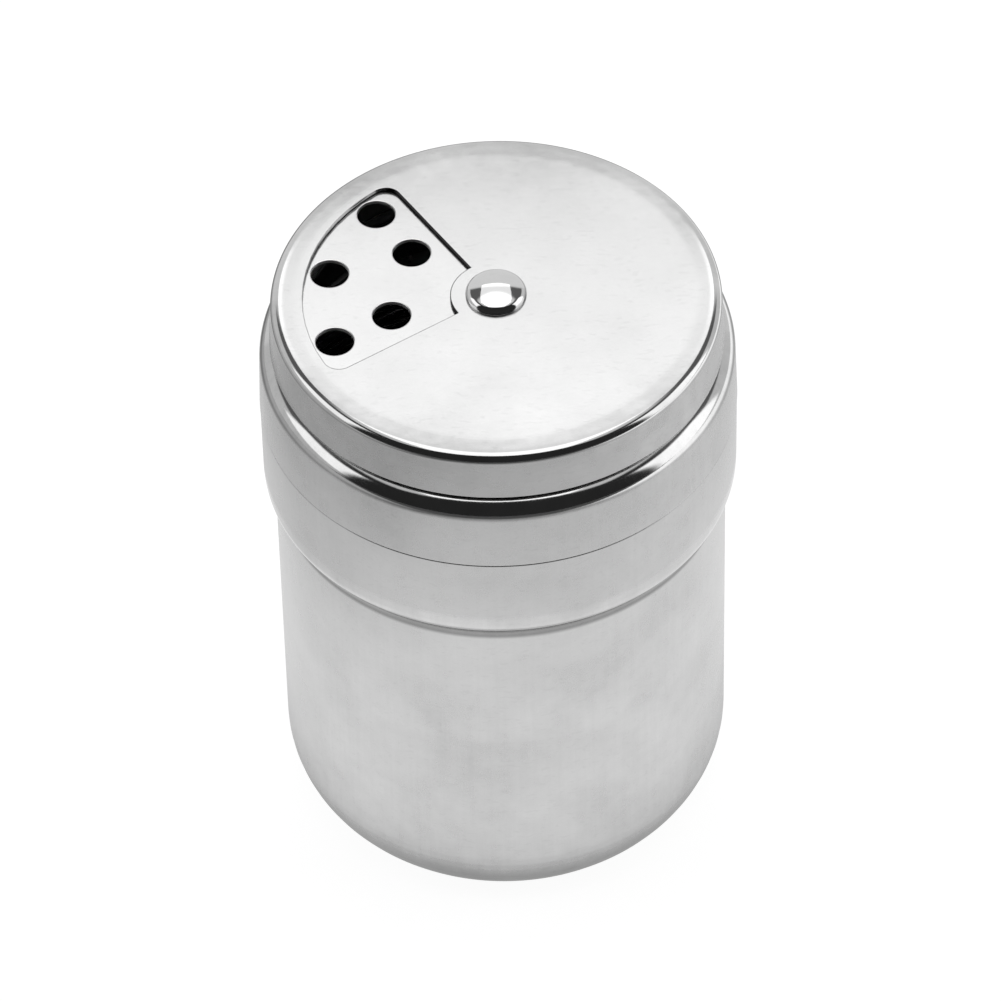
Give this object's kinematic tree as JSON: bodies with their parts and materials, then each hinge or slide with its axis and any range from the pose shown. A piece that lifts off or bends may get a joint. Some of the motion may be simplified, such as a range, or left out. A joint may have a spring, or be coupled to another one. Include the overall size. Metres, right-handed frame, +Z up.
{
  "type": "spice shaker",
  "caption": "Cylindrical steel spice shaker with a stepped screw-on sifter lid and a riveted rotating cover whose window opens or closes the sifter holes.",
  "frame": {"origin": "centre of the jar's flat base, on the surface that it stands on", "axes": "+Z up along the jar's axis; seen from above, the cover's window points to 168 degrees counter-clockwise from +X; -Y faces the viewer of the picture"},
  "size_m": [0.06, 0.06, 0.0846],
  "materials": {
    "jar_steel": "fine satin stainless steel",
    "lid_steel": "fine satin stainless steel, polished on the shoulder",
    "cover_steel": "satin stainless steel, polished on the rim",
    "rivet_chrome": "mirror polished",
    "washer_steel": "plain spring steel",
    "liner_plastic": "moulded natural white plastic",
    "seal_silicone": "soft translucent silicone"
  },
  "bodies": {
    "jar": {"jar_body": "jar_steel"},
    "seal": {"sealing_ring": "seal_silicone"},
    "lid": {"lid_shell": "lid_steel", "thread_liner": "liner_plastic", "rivet": "rivet_chrome", "spring_washer": "washer_steel", "backing_washer": "washer_steel"},
    "cover": {"rotating_cover": "cover_steel"}
  },
  "joints": [
    {"name": "lid_lift", "type": "slide", "parent": "jar", "child": "seal", "axis": [0, 0, 1], "range_m": [0, 0.00242]},
    {"name": "lid_unscrew", "type": "hinge", "parent": "seal", "child": "lid", "pos_m": [0, 0, 0.0694], "axis": [0, 0, 1], "range_deg": [0, 270]},
    {"name": "cover_turn", "type": "hinge", "parent": "lid", "child": "cover", "pos_m": [0, 0, 0.083], "axis": [0, 0, 1], "continuous": true}
  ],
  "couplings": [
    {"joint": "lid_lift", "follows": "lid_unscrew", "m_per_rad": 0.0005093}
  ]
}
